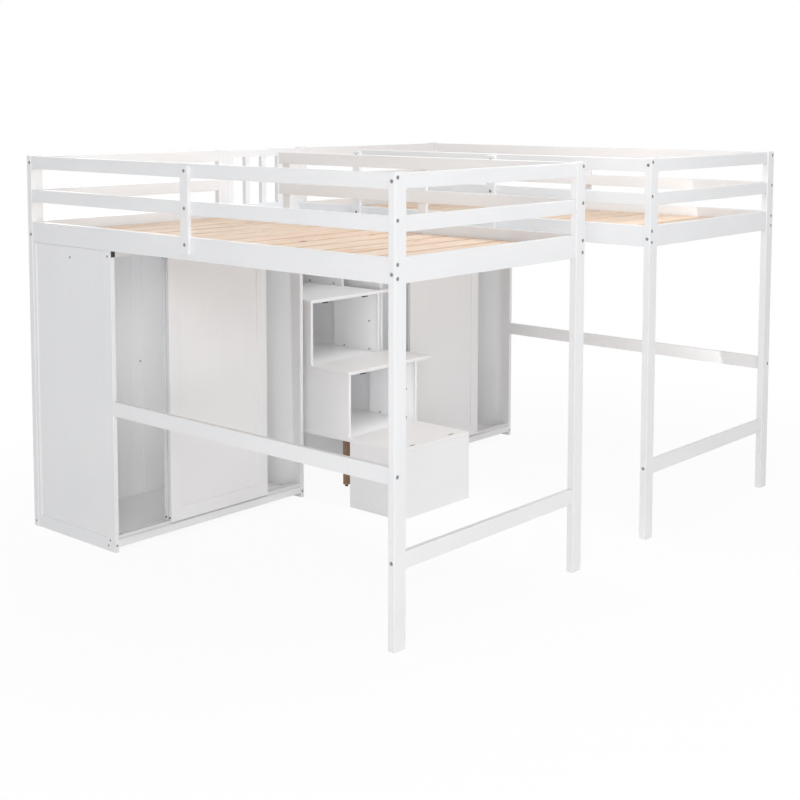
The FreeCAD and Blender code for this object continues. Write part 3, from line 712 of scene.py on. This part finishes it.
def select_facing(thing, facing):
    """In edit mode, selects the faces that look in a direction."""
    bpy.ops.mesh.select_all(action="DESELECT")
    mesh = bmesh.from_edit_mesh(thing.data)
    for face in mesh.faces:
        if face.normal.dot(facing) > FACING_SHARE:
            face.select_set(True)
    bmesh.update_edit_mesh(thing.data)


def fit_recess(thing, facing, middle, recess_low, recess_high):
    """In edit mode, moves the selected inset face to the recess's corners."""
    mesh = bmesh.from_edit_mesh(thing.data)
    for vertex in mesh.verts:
        if vertex.select:
            for axis in range(3):
                if not facing[axis]:
                    corner = recess_low if vertex.co[axis] < middle[axis] else recess_high
                    vertex.co[axis] = corner[axis]
    bmesh.update_edit_mesh(thing.data)


print("faces can be picked by the direction they look in")

# %% Model a framed board
FRAME_WIDTH = 0.055
RECESS = 0.005
FRAME_EASE = 0.0012
FRAME_SEGMENTS = 2
SHARP_ANGLE = math.radians(40)


def framed_board(node, facing, recess_low, recess_high):
    """A board in a part's place, with a recess between two corners on the side it faces."""
    low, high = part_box(node)
    middle = (low + high) / 2
    facing = Vector(facing)
    deselect()
    bpy.ops.mesh.primitive_cube_add(size=1, location=middle, scale=high - low)
    bpy.ops.object.transform_apply(location=True, rotation=True, scale=True)
    thing = bpy.context.object
    thing.name = f"{node}_framed"
    bpy.ops.object.mode_set(mode="EDIT")
    select_facing(thing, facing)
    bpy.ops.mesh.inset(thickness=FRAME_WIDTH)
    fit_recess(thing, facing, middle, recess_low, recess_high)
    bpy.ops.mesh.extrude_region_move(
        TRANSFORM_OT_translate={"value": tuple(-RECESS * side for side in facing)})
    bpy.ops.mesh.select_all(action="DESELECT")
    bpy.ops.mesh.edges_select_sharp(sharpness=SHARP_ANGLE)
    bpy.ops.mesh.bevel(offset=FRAME_EASE, segments=FRAME_SEGMENTS, affect="EDGES", profile=ROUND)
    bpy.ops.object.mode_set(mode="OBJECT")
    deselect()
    return thing


print(f"recesses are {RECESS * 1000:.0f} mm deep")

# %% [markdown]
# ## The sliding doors
# Each door is a framed board with the frame equally wide all round. It rides on the rib of the
# lower rail, in a groove along the middle of its lower edge. The groove is cut right through, by a
# bar longer than the door.

# %% The four doors
GROOVE_WIDTH, GROOVE_DEPTH = 0.006, 0.008
DOOR_MARGIN = Vector((FRAME_WIDTH, 0, FRAME_WIDTH))
DOOR_FACING = (0, -1, 0)

for side in ("left", "right"):
    for row in ("front", "rear"):
        node = f"{side}_{row}_door"
        low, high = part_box(node)
        middle = (low + high) / 2
        door = framed_board(node, DOOR_FACING, low + DOOR_MARGIN, high - DOOR_MARGIN)
        bar_size = (2 * (high.x - low.x), GROOVE_WIDTH, 2 * GROOVE_DEPTH)
        bpy.ops.mesh.primitive_cube_add(size=1, location=(middle.x, middle.y, low.z),
                                        scale=bar_size)
        cut_with(door, bpy.context.object)
        finish_piece(door, node, paint_upright)
        print(f"{door.name}: {len(door.data.polygons)} faces")

# %% [markdown]
# ## The wardrobes' outer sides
# The outer side of each wardrobe is framed in the same way, but its recess isn't in the middle: the
# strip in front is wide, the one at the back narrow, and hardly any is left at the top, where the
# bed's rail covers it. Its screws get their seats as the posts' bolts do.

# %% The wardrobes' outer sides
SIDE_LOW_MARGIN = Vector((0, 0.058, 0.052))
SIDE_HIGH_MARGIN = Vector((0, 0.016, 0.002))

for side, facing in (("left", (-1, 0, 0)), ("right", (1, 0, 0))):
    node = f"{side}_wardrobe_outer_side"
    low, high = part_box(node)
    panel = framed_board(node, facing, low + SIDE_LOW_MARGIN, high - SIDE_HIGH_MARGIN)
    drilled = cut_seats(panel)
    finish_piece(panel, node, paint_upright)
    print(f"{panel.name}: {drilled} seats, {len(panel.data.polygons)} faces")

# %% [markdown]
# ## Floor
# The studio is a plain white sweep. A lit floor alone would turn grey further off, so this one
# fades to pure white away from the object, and no line shows where it ends. Only rays that come
# from the camera, or from a gloss or through glass, see the white. Light from the lamps finds a
# plain matte floor, which keeps the object's shadow and doesn't glow on the boards.

# %% Floor
FLOOR_HALF = 30.0
FLOOR_DROP = 0.0005  # keeps the floor clear of the feet that stand on it
FLOOR_GREY, FLOOR_SHADE = (0.95, 0.95, 0.95), (0.93, 0.93, 0.935)
FLOOR_SQUEEZE = (0.75, 1, 0)  # the object is wider than it is long, and so is the fade
FADE_SPAN = (1.1, 2.6)  # how far out the fade to white begins and ends
FADE = (0.92, 1.0)  # how white the floor is before it and after it
WHITE = (1, 1, 1)


def sees_white(g):
    """1 for a ray from the camera, off a gloss or through glass, and 0 for any other."""
    camera_ray = g.node("LightPath", output="Is Camera Ray")
    glossy_ray = g.node("LightPath", output="Is Glossy Ray")
    clear_ray = g.node("LightPath", output="Is Transmission Ray")
    return g.maths("MINIMUM", camera_ray + glossy_ray + clear_ray, 1.0)


bpy.ops.mesh.primitive_plane_add(size=2 * FLOOR_HALF, location=(0, 0, LOW.z - FLOOR_DROP))
floor = bpy.context.object
floor.name = "studio_floor"
g = Graph(bpy.data.materials.new("studio_floor"))
place = g.place()
away = g.node("VectorMath", {"operation": "LENGTH"}, g.stretched(place, FLOOR_SQUEEZE),
              output="Value")
fade = g.between(away, FADE_SPAN, FADE)
grain = g.node("TexNoise", None, place, Scale=40.0, Detail=2.0)
matte = g.node("BsdfDiffuse", None, g.mix(grain, FLOOR_GREY, FLOOR_SHADE))
glow = g.node("Emission", None, WHITE, 1.0)
floor.data.materials.append(g.show(g.node("MixShader", None, fade * sees_white(g), matte, glow)))
deselect()
print("floor", FLOOR_HALF * 2, "m square")

# %% [markdown]
# ## Sky
# An even sky fills the shadows, as the white walls of a studio do. The same three kinds of ray see
# pure white instead of it, so the background is white without more light on the object, and metal
# has that white to mirror. The Standard view shows colours about as they are written.

# %% Sky
SKY_COLOUR = (0.985, 0.99, 1.0)
SKY_STRENGTH = 0.52

bpy.context.scene.view_settings.view_transform = "Standard"
world = bpy.data.worlds.new("studio")
bpy.context.scene.world = world
g = Graph(world)
sky = g.node("Background", None, SKY_COLOUR, SKY_STRENGTH)
white = g.node("Background", None, WHITE, 1.0)
g.show(g.node("MixShader", None, sees_white(g), sky, white), "OutputWorld")
print("an even sky at", SKY_STRENGTH)

# %% [markdown]
# ## Lamps
# Three soft boxes at the camera's side give the fronts their light, one at the back keeps the far
# side from going dark, and one hangs over the stair. The picture is evenly light under the decks
# too, where such large lamps leave deep shadows. More power would burn out the fronts, so weak
# fills stand inside the wardrobes and the boxes and in front of the right doors and the steps,
# hidden from the camera. Those in the wardrobes face straight in, because a tilted one would poke
# through the doors. The fills over the decks are long and low, and cooler than the rest, because
# the bare pine throws a warm light on the white rails.

# %% Lamps
MIDDLE = (0, 0, 0.65)
COOL = (0.76, 0.89, 1.0)


def area_lamp(name, place, target, size, power, seen, colour=WHITE):
    """A soft box that looks at a point."""
    data = bpy.data.lights.new(name, "AREA")
    data.shape = "RECTANGLE"
    data.size, data.size_y = size
    data.energy = power
    data.color = colour
    lamp = bpy.data.objects.new(name, data)
    bpy.context.scene.collection.objects.link(lamp)
    lamp.location = place
    look = Vector(target) - Vector(place)
    lamp.rotation_euler = look.to_track_quat("-Z", "Y").to_euler()
    lamp.visible_camera = seen


LAMPS = (
    # name, place, target, width and height, watts, whether the camera sees it, colour
    ("low_soft_box", (-5.3, -4.9, 0.9), MIDDLE, (3.0, 1.6), 85, True),
    ("high_soft_box", (-5.6, -5.2, 3.6), MIDDLE, (3.4, 2.2), 130, True),
    ("front_soft_box", (2.0, -6.5, 1.3), MIDDLE, (3.0, 2.0), 10, True),
    ("back_soft_box", (2.6, 6.2, 1.7), MIDDLE, (3.4, 2.2), 70, False),
    ("stair_soft_box", (0, -0.6, 3.0), (0, 0.1, 0.3), (0.5, 2.4), 27, False),
    ("left_wardrobe_fill", (-0.76, 0.508, 0.62), (-0.76, 1.0, 0.61), (0.96, 1.02), 1.05, False),
    ("right_wardrobe_fill", (0.76, 0.508, 0.62), (0.76, 1.0, 0.61), (0.96, 1.02), 0.95, False),
    ("second_box_fill", (0, 0.21, 0.44), (0, 0.7, 0.43), (0.4, 0.25), 0.2, False),
    ("third_box_fill", (0, 0.44, 0.73), (0, 0.9, 0.72), (0.4, 0.25), 0.15, False),
    ("right_door_fill", (0.76, -0.70, 0.95), (0.76, 0.5, 0.70), (1.0, 0.9), 1.9, False),
    ("step_side_fill", (-0.42, 0.08, 0.46), (-0.2, 0.22, 0.45), (0.3, 0.3), 0.09, False),
    ("left_rail_fill", (-1.15, 0.0, 1.46), (-0.3, 0.0, 1.44), (1.8, 0.12), 1.0, False, COOL),
    ("right_rail_fill", (0.40, 0.0, 1.46), (1.25, 0.0, 1.44), (1.8, 0.12), 0.15, False, COOL),
)
for lamp in LAMPS:
    area_lamp(*lamp)
print(len(LAMPS), "lamps")
